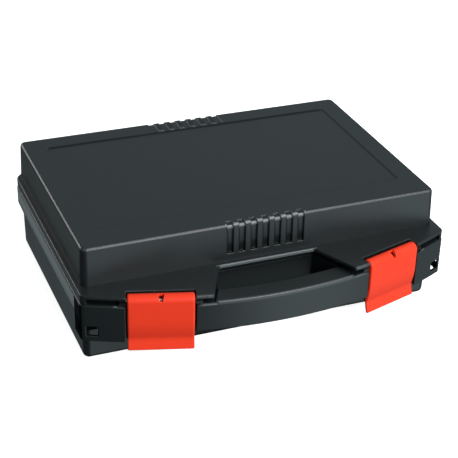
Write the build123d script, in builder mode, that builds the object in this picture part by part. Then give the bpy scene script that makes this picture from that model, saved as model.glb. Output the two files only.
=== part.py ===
"""Drill case: a moulded plastic case with a bowed front that carries the handle bar and two latches.

Millimetres, +Z up. The origin is the centre of the face that the case rests on, X runs along the
hinge, and the handle is on the -Y side.
"""

import os
from math import asin, cos, degrees, radians, sin, sqrt, tan

from build123d import *

os.makedirs("parts", exist_ok=True)

# Case body
case_height = 112.3
parting_height = 67.0
lid_top_width = 340.0
lid_top_depth = 224.0
lid_draft = 1.9
base_draft = 1.0
corner_radius = 7.0
top_edge_radius = 3.0
bottom_edge_radius = 4.5
wall = 2.6
floor = 2.6
parting_gap = 0.3

# Recessed panel in the lid's top
panel_width = 298.0
panel_front = 81.0
panel_back = 90.0
panel_depth = 1.2
panel_corner = 3.0
panel_slope = 35.0

# Grip grooves over the lid's front and back edges
groove_count = 7
groove_pitch = 11.4
groove_width = 6.2
groove_depth = 1.3
groove_floor_radius = 1.2
back_groove_depth = 0.8
back_groove_floor_radius = 0.7
groove_foot = 83.5
groove_reach = 6.5
pit_height = 9.0
pit_depth = 1.9

# Rim flange, bowed at the front
flange_half_width = 176.3
flange_back = 117.6
bow_front = 167.7
bow_radius = 395.0
flange_corner = 6.0
flange_back_corner = 14.0
skirt_wall = 2.5
skirt_foot = 31.0
band_foot = 36.0
band_edge = 50.0
band_slope = 19.0
front_zone = 106.0
flange_edge_radius = 1.6
opening_edge_radius = 1.2
rib_thickness = 2.0
rib_count = 7
rib_pitch = 15.0
overcut = 1.0

# Lid's own flange
shelf_height = 75.7
shelf_thickness = 3.0
lid_flange_inset = 0.5
skirt_return = 4.5
shelf_edge_radius = 1.0

# Lip that locates the lid on the base
lip_height = 2.6
lip_thickness = 1.4
lip_clearance = 0.3
ledge_depth = 6.0

# Handle
opening_back = 118.0
opening_into_body = 5.0
opening_half_width = 46.0
opening_flare = 0.5
bar_depth = 20.5
bar_foot = 40.5
bar_rise = 1.8
bar_gap = 0.6
bar_root = 3.0
bar_zone = 84.0
opening_corner = 3.0
handle_wall = 2.5

# Strap slots through the front corners
strap_slot = 10.0
strap_side_slot = 7.0
strap_height = 41.0
strap_from_side = 9.0
strap_from_front = 4.7

# Latches
latch_x = 112.0
latch_width = 58.0
latch_wall = 2.4
latch_barrel = 6.0
latch_pivot_height = 70.2
latch_straight_foot = 52.0
latch_crease_height = 32.6
latch_crease_set_back = 3.4
latch_foot = 21.7
latch_foot_set_back = 0.6
latch_cheek = 2.0
latch_rib_x = 10.0
latch_side_gap = 1.6
latch_recess_depth = 7.0
barrel_clearance = 1.1
notch_width = 6.0
notch_foot_width = 2.0
notch_depth = 5.0
hook_height = 46.0
hook_thickness = 3.5
hook_width = 38.0
catch_thickness = 2.5
catch_depth = 1.8
catch_gap = 0.5
bite_clearance = 0.3
latch_pin_radius = 1.5
latch_pin_fit = 0.05
ear_width = 6.0
ear_depth = 6.6
ear_gap = 0.8
ear_ground = 0.6

# Hinges
hinge_x = 100.0
knuckle_radius = 4.5
outer_knuckle = 18.0
inner_knuckle = 24.0
knuckle_gap = 0.4
knuckle_clearance = 0.5
hinge_pin_radius = 2.0
hinge_pin_fit = 0.06
lid_opening = 105.0
stop_reach = 5.2
web_thickness = 6.0
web_slope = 30.0
pin_chamfer = 0.4
pin_press = 0.01

# Foam linings
foam_clearance = 0.4
foam_pad_thickness = 8.0
foam_insert_thickness = 48.0
lid_foam_thickness = 28.0
foam_corner = 8.0

# Pockets in the foam insert
drill_body_length = 196.0
drill_body_height = 66.0
drill_nose_length = 52.0
drill_nose_step = 9.0
drill_grip_width = 48.0
drill_grip_from_end = 66.0
drill_foot_length = 118.0
drill_foot_width = 44.0
battery_length = 84.0
battery_width = 78.0
charger_length = 66.0
charger_width = 88.0
bit_slot_length = 78.0
bit_slot_width = 12.0
bit_slot_pitch = 20.0
bit_slot_count = 4
bit_slot_corner = 4.0
pocket_margin = 14.0
pocket_corner = 7.0
drill_pocket_corner = 3.5

# Worked out from the sizes above
box_half_width = lid_top_width / 2 + (case_height - parting_height) * tan(radians(lid_draft))
box_half_depth = lid_top_depth / 2 + (case_height - parting_height) * tan(radians(lid_draft))
foot_half_width = box_half_width - parting_height * tan(radians(base_draft))
foot_half_depth = box_half_depth - parting_height * tan(radians(base_draft))
ceiling_height = case_height - panel_depth - wall
bow_centre = bow_radius - bow_front
latch_tilt = degrees(asin(latch_x / bow_radius))
mid_skin = latch_wall / 2
latch_y = bow_centre - sqrt(bow_radius**2 - latch_x**2)
hinge_y = flange_back + knuckle_clearance + knuckle_radius
hinge_z = parting_height
barrel_foot = latch_pivot_height - latch_barrel - barrel_clearance
station_length = 2 * outer_knuckle + inner_knuckle + 2 * knuckle_gap
shelf_foot = shelf_height - shelf_thickness
groove_start = lid_top_depth / 2 - groove_reach
pit_inset = pit_depth - groove_depth
lid_back = flange_back - lid_flange_inset
strap_front_x = flange_half_width - strap_from_side
strap_side_y = bow_centre - sqrt(bow_radius**2 - flange_half_width**2) + strap_from_front
web_turn_z = hinge_z - knuckle_radius * sin(radians(web_slope))
web_foot_z = web_turn_z - web_thickness
lid_web_y = hinge_y + knuckle_radius * sin(radians(web_slope))
lid_web_z = hinge_z + knuckle_radius * cos(radians(web_slope))
foam_half_width = foot_half_width - wall - foam_clearance
foam_half_depth = foot_half_depth - wall - foam_clearance
lid_foam_half_width = lid_top_width / 2 - wall - foam_clearance
lid_foam_half_depth = lid_top_depth / 2 - wall - foam_clearance
pocket_half_width = foam_half_width - pocket_margin
pocket_half_depth = foam_half_depth - pocket_margin
drill_grip_x = -pocket_half_width + drill_body_length - drill_grip_from_end + drill_grip_width / 2
bit_slot_x = pocket_half_width - bit_slot_length / 2
bit_slot_y = -pocket_half_depth + bit_slot_width / 2
foam_floor = floor + foam_pad_thickness
foam_top = foam_floor + foam_insert_thickness


def body_outline(height, inset):
    """The case body's rounded outline at the parting plane, drawn inset and at a height."""
    with BuildSketch(Plane.XY.offset(height)) as outline:
        RectangleRounded(
            2 * (box_half_width - inset),
            2 * (box_half_depth - inset),
            max(corner_radius - inset, 1.0),
        )
    return outline.sketch


def bowed_outline(height, inset):
    """The rim flange's outline: straight sides and back, and an arc for the front."""
    half = flange_half_width - inset
    back = flange_back - inset
    radius = bow_radius - inset
    corner = bow_centre - sqrt(radius**2 - half**2)
    with BuildSketch(Plane.XY.offset(height)) as outline:
        with BuildLine():
            Polyline((-half, corner), (-half, back), (half, back), (half, corner))
            ThreePointArc((half, corner), (0, bow_centre - radius), (-half, corner))
        make_face()
        corners = outline.vertices().sort_by(Axis.Y)
        fillet(corners[-2:], max(flange_back_corner - inset, 1.0))
        fillet(outline.vertices().sort_by(Axis.Y)[:2], max(flange_corner - inset, 1.0))
    return outline.sketch


def front_outline(height, inset):
    """The part of the bowed outline that stands in front of the case body."""
    with BuildSketch(Plane.XY.offset(height)) as outline:
        add(bowed_outline(0, inset))
        with Locations((0, -front_zone)):
            Rectangle(
                2 * flange_half_width,
                bow_front,
                align=(Align.CENTER, Align.MAX),
                mode=Mode.INTERSECT,
            )
    return outline.sketch


def opening_outline(height, grow, front_inset, deeper=0):
    """The finger opening: it widens towards the front, and its front edge follows the bow."""
    back = -opening_back + grow + deeper
    front = -bow_front
    half_back = opening_half_width + grow * (1 - opening_flare)
    half_front = half_back + opening_flare * (back - front)
    with BuildSketch(Plane.XY.offset(height)) as outline:
        with BuildLine():
            Polyline(
                (-half_back, back),
                (half_back, back),
                (half_front, front),
                (-half_front, front),
                close=True,
            )
        make_face()
        add(bowed_outline(0, front_inset), mode=Mode.INTERSECT)
        fillet(outline.vertices(), opening_corner)
    return outline.sketch


def latch_place(side):
    """The frame of a latch: X along it, Y into the case, at the middle of its front face."""
    tilt = radians(latch_tilt) * side
    return Plane(
        origin=(side * latch_x, latch_y, 0), x_dir=(cos(tilt), sin(tilt), 0), z_dir=(0, 0, 1)
    ).location


def latch_profile_plane(side):
    """The plane that a latch's profile is drawn in: X into the case and Y up."""
    tilt = radians(latch_tilt) * side
    return Plane(
        origin=(side * latch_x, latch_y, 0),
        x_dir=(-sin(tilt), cos(tilt), 0),
        z_dir=(cos(tilt), sin(tilt), 0),
    )


def recess_block(side, grow):
    """The space a latch needs in the base's flange, as one solid, grown by a wall."""
    width = latch_width + 2 * latch_side_gap + 2 * grow
    with BuildPart() as block:
        with Locations(latch_place(side)):
            with Locations((0, -latch_barrel, skirt_foot - grow)):
                Box(
                    width,
                    latch_barrel + latch_recess_depth + grow,
                    parting_height - skirt_foot + 2 * grow,
                    align=(Align.CENTER, Align.MIN, Align.MIN),
                )
            with Locations((0, -latch_barrel, barrel_foot - grow)):
                Box(
                    width,
                    3 * latch_barrel + barrel_clearance + grow,
                    2 * latch_barrel,
                    align=(Align.CENTER, Align.MIN, Align.MIN),
                )
    return block.part


# Hollow underside of the front flange, with its ribs left standing
with BuildPart() as flange_hollow:
    extrude(
        front_outline(skirt_foot - overcut, skirt_wall),
        parting_height - skirt_wall - skirt_foot + overcut,
    )
    with Locations((0, 0, skirt_foot - overcut)):
        Box(
            2 * box_half_width,
            2 * box_half_depth,
            parting_height,
            align=(Align.CENTER, Align.CENTER, Align.MIN),
            mode=Mode.SUBTRACT,
        )
    extrude(
        opening_outline(
            skirt_foot - overcut, handle_wall, bar_depth - handle_wall, opening_into_body
        ),
        parting_height,
        mode=Mode.SUBTRACT,
    )
    for side in (-1, 1):
        add(recess_block(side, skirt_wall), mode=Mode.SUBTRACT)
    rib_places = [(index - (rib_count - 1) / 2) * rib_pitch for index in range(rib_count)]
    for middle in (-latch_x, 0, latch_x):
        for place in rib_places:
            if middle == 0 or abs(place) < latch_width / 2:
                with Locations((middle + place, -bow_front, skirt_foot - overcut)):
                    Box(
                        rib_thickness,
                        bow_front,
                        parting_height,
                        align=(Align.CENTER, Align.MIN, Align.MIN),
                        mode=Mode.SUBTRACT,
                    )

# Raised top of the handle bar, standing in the gap that the lid's shelf leaves
with BuildPart() as bar_top:
    extrude(opening_outline(parting_height - bar_root, -bar_gap, 0), bar_root + bar_rise)
    extrude(
        opening_outline(skirt_foot, 0, bar_depth, opening_into_body),
        parting_height,
        mode=Mode.SUBTRACT,
    )
    fillet(bar_top.faces().sort_by(Axis.Z)[-1].edges(), flange_edge_radius)

# Flange: a band round the sides and back that turns in below, and a deep skirt at the front
with BuildPart() as flange:
    extrude(bowed_outline(band_edge, 0), parting_height - band_edge)
    extrude(front_outline(skirt_foot, 0), parting_height - skirt_foot)
    extrude(bowed_outline(band_edge, 0), band_foot - band_edge, taper=band_slope)
    extrude(
        opening_outline(skirt_foot, 0, bar_depth, opening_into_body),
        parting_height,
        mode=Mode.SUBTRACT,
    )
    top_face = flange.faces().sort_by(Axis.Z)[-1]
    fillet(top_face.outer_wire().edges(), flange_edge_radius)
    top_face = flange.faces().sort_by(Axis.Z)[-1]
    fillet(top_face.inner_wires()[0].edges(), opening_edge_radius)
    add(bar_top.part)
    add(flange_hollow.part, mode=Mode.SUBTRACT)
    with Locations((0, -front_zone, skirt_foot)):
        Box(
            2 * bar_zone,
            bow_front,
            bar_foot - skirt_foot,
            align=(Align.CENTER, Align.MAX, Align.MIN),
            mode=Mode.SUBTRACT,
        )

# Base shell: body, flange with the handle bar, latch catches, locating lip and hinge knuckles
with BuildPart() as base_shell:
    extrude(body_outline(parting_height, 0), -parting_height, taper=base_draft)
    fillet(base_shell.faces().sort_by(Axis.Z)[0].edges(), bottom_edge_radius)
    add(flange.part)
    extrude(
        body_outline(parting_height - ledge_depth, wall),
        floor + ledge_depth - parting_height,
        taper=base_draft,
        mode=Mode.SUBTRACT,
    )
    extrude(
        body_outline(parting_height, wall + lip_clearance + lip_thickness),
        -ledge_depth,
        mode=Mode.SUBTRACT,
    )
    with BuildSketch(Plane.XY.offset(parting_height)):
        add(body_outline(0, wall + lip_clearance))
        add(body_outline(0, wall + lip_clearance + lip_thickness), mode=Mode.SUBTRACT)
    extrude(amount=lip_height)
    for side in (-1, 1):
        add(recess_block(side, 0), mode=Mode.SUBTRACT)
        with Locations(latch_place(side)):
            with Locations(
                (0, latch_recess_depth - catch_depth, hook_height + hook_thickness + catch_gap)
            ):
                Box(
                    hook_width + 2 * catch_thickness,
                    catch_depth + overcut,
                    catch_thickness,
                    align=(Align.CENTER, Align.MIN, Align.MIN),
                )
        with Locations((side * strap_front_x, -box_half_depth, strap_height)):
            Box(
                strap_slot,
                bow_front,
                strap_slot,
                align=(Align.CENTER, Align.MAX, Align.CENTER),
                mode=Mode.SUBTRACT,
            )
        with Locations((side * box_half_width, strap_side_y, strap_height)):
            Box(2 * strap_from_side, strap_side_slot, strap_side_slot, mode=Mode.SUBTRACT)
        for end in (-1, 1):
            middle = side * hinge_x + end * (station_length - outer_knuckle) / 2
            with BuildSketch(Plane.YZ.offset(middle)):
                with Locations((hinge_y, hinge_z)):
                    Circle(knuckle_radius)
                with BuildLine():
                    Polyline(
                        (flange_back - overcut, hinge_z - parting_gap),
                        (hinge_y, hinge_z - parting_gap),
                        (hinge_y + knuckle_radius, hinge_z - parting_gap),
                        (hinge_y + knuckle_radius * cos(radians(web_slope)), web_turn_z),
                        (flange_back - overcut, web_foot_z),
                        close=True,
                    )
                make_face()
            extrude(amount=outer_knuckle / 2, both=True)
        with Locations(Location((side * hinge_x, hinge_y, hinge_z), (0, 90, 0))):
            Cylinder(hinge_pin_radius + pin_press, 2 * station_length, mode=Mode.SUBTRACT)
base_shell.part.label = "base_shell"
export_step(base_shell.part, "parts/base_shell.step")

# Outer skins of the lid's body, sunk by the depth of the grooves and of the pits at their feet
with BuildPart() as groove_core:
    extrude(
        body_outline(parting_height, groove_depth),
        case_height - groove_depth - parting_height,
        taper=lid_draft,
    )
    fillet(groove_core.faces().sort_by(Axis.Z)[-1].edges(), top_edge_radius)
with BuildPart() as pit_core:
    extrude(
        body_outline(parting_height, pit_depth),
        case_height - pit_depth - parting_height,
        taper=lid_draft,
    )

# Grip grooves: a row of slots with rounded floors, from y = -start outwards, as deep as a skin
def groove_row(start, core, floor_radius):
    """The cutter for one row over the front top edge, with its long inner edges rounded."""
    with BuildPart() as one_groove:
        with Locations((0, -start, groove_foot)):
            Box(
                groove_width,
                lid_top_depth,
                case_height,
                align=(Align.CENTER, Align.MAX, Align.MIN),
            )
        add(core, mode=Mode.SUBTRACT)
        beside = one_groove.edges().filter_by(lambda edge: abs(edge.center().X) > overcut)
        inner = beside.filter_by(lambda edge: abs(edge.center().Y) < box_half_depth)
        fillet(inner.filter_by(lambda edge: edge.center().Z < case_height), floor_radius)
    with BuildPart() as row:
        with GridLocations(groove_pitch, 0, groove_count, 1):
            add(one_groove.part)
    return row.part


shallower = groove_depth - back_groove_depth
shallow_core = groove_core.part.moved(Location((0, -shallower, shallower)))
front_grooves = groove_row(groove_start, groove_core.part, groove_floor_radius)
back_grooves = groove_row(panel_back, shallow_core, back_groove_floor_radius).rotate(Axis.Z, 180)

# Pits at the grooves' feet
with BuildPart() as pits:
    front_pits = Location((0, -groove_start, groove_foot))
    back_pits = Location((0, groove_start, groove_foot), (0, 0, 180))
    with Locations(front_pits, back_pits):
        with GridLocations(groove_pitch, 0, groove_count, 1):
            Box(
                groove_width - 2 * pit_inset,
                lid_top_depth,
                pit_height,
                align=(Align.CENTER, Align.MAX, Align.MIN),
            )
    add(pit_core.part, mode=Mode.SUBTRACT)

# Lid's flange: a band round the sides and back, and a thin bowed shelf at the front
with BuildPart() as lid_flange:
    extrude(
        bowed_outline(parting_height + parting_gap, lid_flange_inset),
        shelf_height - parting_height - parting_gap,
    )
    with Locations((0, -box_half_depth, 0)):
        Box(
            2 * (flange_half_width - lid_flange_inset - skirt_return),
            bow_front,
            shelf_foot,
            align=(Align.CENTER, Align.MAX, Align.MIN),
            mode=Mode.SUBTRACT,
        )
    extrude(opening_outline(parting_height, 0, -bow_front), parting_height, mode=Mode.SUBTRACT)
    for side in (-1, 1):
        with Locations(latch_place(side)):
            with Locations((0, -latch_barrel, parting_height)):
                Box(
                    latch_width + 2 * ear_gap,
                    3 * latch_barrel + barrel_clearance,
                    parting_height,
                    align=(Align.CENTER, Align.MIN, Align.MIN),
                    mode=Mode.SUBTRACT,
                )
    fillet(lid_flange.faces().sort_by(Axis.Z)[-1].outer_wire().edges(), shelf_edge_radius)
    for side in (-1, 1):
        with Locations(latch_place(side)):
            for end in (-1, 1):
                with Locations(
                    (
                        end * (latch_width / 2 + ear_gap + ear_width / 2),
                        latch_barrel,
                        parting_height + ear_ground,
                    )
                ):
                    Box(
                        ear_width,
                        ear_depth,
                        shelf_foot - parting_height,
                        align=(Align.CENTER, Align.CENTER, Align.MIN),
                    )
            with Locations(Location((0, latch_barrel, latch_pivot_height), (0, 90, 0))):
                Cylinder(latch_pin_radius + pin_press, 2 * latch_width, mode=Mode.SUBTRACT)

# Lid shell: body with its recessed panel and grooves, flange, and the inner hinge knuckles
with BuildPart() as lid_shell:
    extrude(body_outline(parting_height, 0), case_height - parting_height, taper=lid_draft)
    fillet(lid_shell.faces().sort_by(Axis.Z)[-1].edges(), top_edge_radius)
    add(front_grooves, mode=Mode.SUBTRACT)
    add(back_grooves, mode=Mode.SUBTRACT)
    add(pits.part, mode=Mode.SUBTRACT)
    with BuildSketch(Plane.XY.offset(case_height)):
        with Locations((0, (panel_back - panel_front) / 2)):
            RectangleRounded(panel_width, panel_front + panel_back, panel_corner)
    extrude(amount=-panel_depth, taper=panel_slope, mode=Mode.SUBTRACT)
    add(lid_flange.part)
    extrude(
        body_outline(parting_height, wall),
        ceiling_height - parting_height,
        taper=lid_draft,
        mode=Mode.SUBTRACT,
    )
    split(bisect_by=Plane.XY.offset(parting_height + parting_gap), keep=Keep.TOP)
    for side in (-1, 1):
        with BuildSketch(Plane.YZ.offset(side * hinge_x)):
            with Locations((hinge_y, hinge_z)):
                Circle(knuckle_radius)
            with BuildLine():
                Polyline(
                    (lid_back - overcut, parting_height + parting_gap),
                    (hinge_y, parting_height + parting_gap),
                    (lid_web_y, lid_web_z),
                    (lid_back - overcut, shelf_height - shelf_edge_radius),
                    close=True,
                )
            make_face()
        extrude(amount=inner_knuckle / 2, both=True)
        with Locations(Location((side * hinge_x, hinge_y, hinge_z), (lid_opening, 0, 0))):
            Box(
                inner_knuckle,
                knuckle_radius + knuckle_clearance - parting_gap,
                stop_reach,
                align=(Align.CENTER, Align.MAX, Align.MAX),
            )
        with Locations(Location((side * hinge_x, hinge_y, hinge_z), (0, 90, 0))):
            Cylinder(hinge_pin_radius + hinge_pin_fit, 2 * inner_knuckle, mode=Mode.SUBTRACT)
lid_shell.part.label = "lid_shell"
export_step(lid_shell.part, "parts/lid_shell.step")

# Hinge pins: one through the three knuckles of each hinge
with BuildPart() as right_hinge_pin:
    with Locations(Location((hinge_x, hinge_y, hinge_z), (0, 90, 0))):
        Cylinder(hinge_pin_radius, station_length)
    chamfer(right_hinge_pin.edges(), pin_chamfer)
with BuildPart() as left_hinge_pin:
    add(right_hinge_pin.part)
    mirror(about=Plane.YZ, mode=Mode.REPLACE)
right_hinge_pin.part.label = "right_hinge_pin"
left_hinge_pin.part.label = "left_hinge_pin"
export_step(right_hinge_pin.part, "parts/right_hinge_pin.step")
export_step(left_hinge_pin.part, "parts/left_hinge_pin.step")

# Latch: a skin that rolls over its pivot and turns out at the finger lip, with a cheek at each
# end, two bearing ribs, and a hook on its inside
with BuildPart() as right_latch:
    with BuildSketch(latch_profile_plane(1)) as skin:
        with BuildLine():
            face_line = Line((0, latch_pivot_height), (0, latch_straight_foot))
            turn_in = TangentArc(
                face_line @ 1, (latch_crease_set_back, latch_crease_height), tangent=(0, -1)
            )
            Line(turn_in @ 1, (latch_foot_set_back, latch_foot))
            offset(amount=latch_wall, side=Side.LEFT)
        make_face()
        with Locations((latch_barrel, latch_pivot_height)):
            Circle(latch_barrel)
            Circle(latch_barrel - latch_wall, mode=Mode.SUBTRACT)
        with Locations((latch_wall, latch_pivot_height - latch_wall)):
            Rectangle(
                3 * latch_barrel,
                latch_barrel,
                align=(Align.MIN, Align.MAX),
                mode=Mode.SUBTRACT,
            )
    extrude(amount=latch_width / 2, both=True)
    for end in (-1, 1):
        with BuildSketch(latch_profile_plane(1).offset(end * (latch_width - latch_cheek) / 2)):
            with Locations((latch_barrel, latch_pivot_height)):
                Circle(latch_barrel)
            with BuildLine():
                cheek_line = Line((mid_skin, latch_pivot_height), (mid_skin, latch_straight_foot))
                cheek_turn = TangentArc(
                    cheek_line @ 1,
                    (latch_crease_set_back + mid_skin, latch_crease_height),
                    tangent=(0, -1),
                )
                Polyline(
                    cheek_turn @ 1,
                    (latch_barrel, latch_crease_height + latch_wall),
                    (latch_barrel, latch_pivot_height),
                    cheek_line @ 0,
                )
            make_face()
        extrude(amount=latch_cheek / 2, both=True)
        with BuildSketch(latch_profile_plane(1).offset(end * latch_rib_x)):
            with Locations((latch_barrel, latch_pivot_height)):
                Circle(latch_barrel)
        extrude(amount=latch_cheek / 2, both=True)
    with Locations(latch_place(1)):
        with Locations((0, mid_skin, hook_height)):
            Box(
                hook_width,
                latch_recess_depth - catch_depth - bite_clearance - mid_skin,
                hook_thickness,
                align=(Align.CENTER, Align.MIN, Align.MIN),
            )
        with Locations(Location((0, latch_barrel, latch_pivot_height), (0, 90, 0))):
            Cylinder(latch_pin_radius + latch_pin_fit, 2 * latch_width, mode=Mode.SUBTRACT)
    with BuildSketch(Plane(latch_place(1) * Location((0, 0, 0), (90, 0, 0)))):
        with Locations((0, latch_pivot_height + latch_barrel)):
            Polygon(
                (-notch_width / 2, overcut),
                (notch_width / 2, overcut),
                (notch_foot_width / 2, -notch_depth),
                (-notch_foot_width / 2, -notch_depth),
                align=None,
            )
    extrude(amount=-latch_barrel - overcut, mode=Mode.SUBTRACT)
with BuildPart() as left_latch:
    add(right_latch.part)
    mirror(about=Plane.YZ, mode=Mode.REPLACE)
right_latch.part.label = "right_latch"
left_latch.part.label = "left_latch"
export_step(right_latch.part, "parts/right_latch.step")
export_step(left_latch.part, "parts/left_latch.step")

# Latch pins: one through each latch, held in the ears under the lid's shelf
with BuildPart() as right_latch_pin:
    with Locations(latch_place(1)):
        with Locations(Location((0, latch_barrel, latch_pivot_height), (0, 90, 0))):
            Cylinder(latch_pin_radius, latch_width + 2 * ear_gap + 2 * ear_width)
    chamfer(right_latch_pin.edges(), pin_chamfer)
with BuildPart() as left_latch_pin:
    add(right_latch_pin.part)
    mirror(about=Plane.YZ, mode=Mode.REPLACE)
right_latch_pin.part.label = "right_latch_pin"
left_latch_pin.part.label = "left_latch_pin"
export_step(right_latch_pin.part, "parts/right_latch_pin.step")
export_step(left_latch_pin.part, "parts/left_latch_pin.step")

# Foam pad on the floor of the base
with BuildPart() as base_foam_pad:
    with BuildSketch(Plane.XY.offset(floor)):
        RectangleRounded(2 * foam_half_width, 2 * foam_half_depth, foam_corner)
    extrude(amount=foam_pad_thickness)
base_foam_pad.part.label = "base_foam_pad"
export_step(base_foam_pad.part, "parts/base_foam_pad.step")

# Foam insert on the pad, cut through for a drill, a battery, a charger and bits
with BuildPart() as base_foam_insert:
    with BuildSketch(Plane.XY.offset(foam_floor)):
        RectangleRounded(2 * foam_half_width, 2 * foam_half_depth, foam_corner)
    extrude(amount=foam_insert_thickness)
    with BuildSketch(Plane.XY.offset(foam_floor)) as drill_pocket:
        with Locations((-pocket_half_width, pocket_half_depth)):
            Rectangle(drill_body_length, drill_body_height, align=(Align.MIN, Align.MAX))
            Rectangle(
                drill_nose_length, drill_nose_step, align=(Align.MIN, Align.MAX), mode=Mode.SUBTRACT
            )
        with Locations((-pocket_half_width, pocket_half_depth - drill_body_height)):
            Rectangle(
                drill_nose_length, drill_nose_step, align=(Align.MIN, Align.MIN), mode=Mode.SUBTRACT
            )
        with Locations((drill_grip_x, pocket_half_depth - drill_body_height / 2)):
            Rectangle(
                drill_grip_width,
                2 * pocket_half_depth - drill_body_height / 2,
                align=(Align.CENTER, Align.MAX),
            )
        with Locations((drill_grip_x, -pocket_half_depth)):
            Rectangle(drill_foot_length, drill_foot_width, align=(Align.CENTER, Align.MIN))
        fillet(drill_pocket.vertices(), drill_pocket_corner)
    extrude(amount=foam_insert_thickness, mode=Mode.SUBTRACT)
    with BuildSketch(Plane.XY.offset(foam_floor)) as square_pockets:
        with Locations((pocket_half_width, pocket_half_depth)):
            Rectangle(battery_length, battery_width, align=(Align.MAX, Align.MAX))
        with Locations((-pocket_half_width, -pocket_half_depth)):
            Rectangle(charger_length, charger_width, align=(Align.MIN, Align.MIN))
        fillet(square_pockets.vertices(), pocket_corner)
    extrude(amount=foam_insert_thickness, mode=Mode.SUBTRACT)
    bit_slots = range(bit_slot_count)
    with BuildSketch(Plane.XY.offset(foam_floor)):
        with Locations([(bit_slot_x, bit_slot_y + index * bit_slot_pitch) for index in bit_slots]):
            RectangleRounded(bit_slot_length, bit_slot_width, bit_slot_corner)
    extrude(amount=foam_insert_thickness, mode=Mode.SUBTRACT)
base_foam_insert.part.label = "base_foam_insert"
export_step(base_foam_insert.part, "parts/base_foam_insert.step")

# Foam glued under the lid's ceiling
with BuildPart() as lid_foam:
    with BuildSketch(Plane.XY.offset(ceiling_height)):
        RectangleRounded(2 * lid_foam_half_width, 2 * lid_foam_half_depth, foam_corner)
    extrude(amount=-lid_foam_thickness)
lid_foam.part.label = "lid_foam"
export_step(lid_foam.part, "parts/lid_foam.step")
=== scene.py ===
# %% [markdown]
# # A drill case in moulded plastic
# The object is a closed carrying case, about 35 cm wide: a charcoal base and lid with a bowed flange
# at the front, a handle bar with a finger opening behind it, and two orange-red latches. The solid
# model of it is loaded first and stays fixed. Every piece made below goes exactly where a solid is,
# so nothing has to be fitted by eye, and each one rides on the same moving body as its solid.
#
# Points are in millimetres on the case: X across it, Y from front to back and Z up. Materials, the
# camera, the lights and Blender's own mesh tools are in metres. The front of the case is an arc of
# one large circle, and the plastic and the latches both use its radius and the Y of its centre.

# %% Load the fixed frame
import math

import bmesh
import bpy
import numpy as np
from mathutils import Matrix, Vector


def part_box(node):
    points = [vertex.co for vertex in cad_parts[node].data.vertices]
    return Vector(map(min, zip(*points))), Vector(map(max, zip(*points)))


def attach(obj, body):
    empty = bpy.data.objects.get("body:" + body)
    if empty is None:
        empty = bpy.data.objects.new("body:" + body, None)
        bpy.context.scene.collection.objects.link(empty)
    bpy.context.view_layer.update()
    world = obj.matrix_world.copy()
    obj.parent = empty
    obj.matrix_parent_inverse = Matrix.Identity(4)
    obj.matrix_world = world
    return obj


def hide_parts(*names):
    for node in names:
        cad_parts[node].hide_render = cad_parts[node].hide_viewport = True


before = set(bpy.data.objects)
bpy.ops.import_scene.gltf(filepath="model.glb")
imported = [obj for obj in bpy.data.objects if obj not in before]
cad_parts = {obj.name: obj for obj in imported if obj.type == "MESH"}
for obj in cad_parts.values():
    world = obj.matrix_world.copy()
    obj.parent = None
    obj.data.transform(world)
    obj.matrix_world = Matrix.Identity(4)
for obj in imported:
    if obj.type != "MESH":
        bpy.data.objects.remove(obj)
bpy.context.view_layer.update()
MM = 0.001
BOW_RADIUS = 395.0
BOW_CENTRE = 227.3
print("solids:", sorted(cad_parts))

# %% [markdown]
# ## The photographer's camera
# The picture was taken from a little over a metre away, with a long lens, from the front left and
# above. The place of the eye and the three turns come from the known corners of the case and where
# they lie in the picture. A square sensor 36 mm wide makes the lens length easy to name.

# %% Camera
LENS = 100.31
SENSOR = 36.0
EYE = Vector((-0.40527, -1.01857, 0.65839))
AZIMUTH = math.radians(-22.1866)
ELEVATION = math.radians(29.3444)
ROLL = math.radians(1.5151)


def photo_camera():
    """Back is the direction from the case to the eye; right and up are turned round it by the roll."""
    back = Vector((
        math.sin(AZIMUTH) * math.cos(ELEVATION),
        -math.cos(AZIMUTH) * math.cos(ELEVATION),
        math.sin(ELEVATION),
    ))
    level = Vector((math.cos(AZIMUTH), math.sin(AZIMUTH), 0))
    upright = back.cross(level)
    right = math.cos(ROLL) * level + math.sin(ROLL) * upright
    up = math.cos(ROLL) * upright - math.sin(ROLL) * level
    data = bpy.data.cameras.new("camera")
    data.lens = LENS
    data.sensor_width = SENSOR
    camera = bpy.data.objects.new("camera", data)
    camera.matrix_world = Matrix.Translation(EYE) @ Matrix((right, up, back)).transposed().to_4x4()
    bpy.context.collection.objects.link(camera)
    return camera


bpy.context.scene.camera = photo_camera()
print("camera at", [round(value, 3) for value in EYE])

# %% [markdown]
# ## Shader maths as Python
# A material is a graph of nodes, and a graph with thirty nodes is hard to read when each link is a
# line of code. A small class that wraps one socket lets sums and products be written as sums and
# products. Each one still adds a Math node, so nothing is lost and the recipe stays procedural.

# %% Wires and paints
class Wire:
    """One output socket of a material; arithmetic on it adds Math nodes."""

    def __init__(self, paint, socket):
        self.paint = paint
        self.socket = socket

    def maths(self, operation, *values):
        """A Math node on those values, which can be wires or numbers."""
        return self.paint.add("Math", {"operation": operation}, dict(enumerate(values)))

    def __add__(self, other):
        return self.maths("ADD", self, other)

    def __sub__(self, other):
        return self.maths("SUBTRACT", self, other)

    def __rsub__(self, other):
        return self.maths("SUBTRACT", other, self)

    def __mul__(self, other):
        return self.maths("MULTIPLY", self, other)

    def __pow__(self, other):
        return self.maths("POWER", self, other)

    __radd__ = __add__
    __rmul__ = __mul__

    def ramp(self, low, high, start=0.0, end=1.0):
        """Start below low, end above high, and a soft S-shaped rise between them."""
        return self.paint.add(
            "MapRange",
            {"interpolation_type": "SMOOTHSTEP"},
            {"Value": self, "From Min": low, "From Max": high, "To Min": start, "To Max": end},
        )

    def fall(self, low, high):
        """1 below low, 0 above high, and the same soft shape between them."""
        return self.ramp(low, high, 1.0, 0.0)


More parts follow.
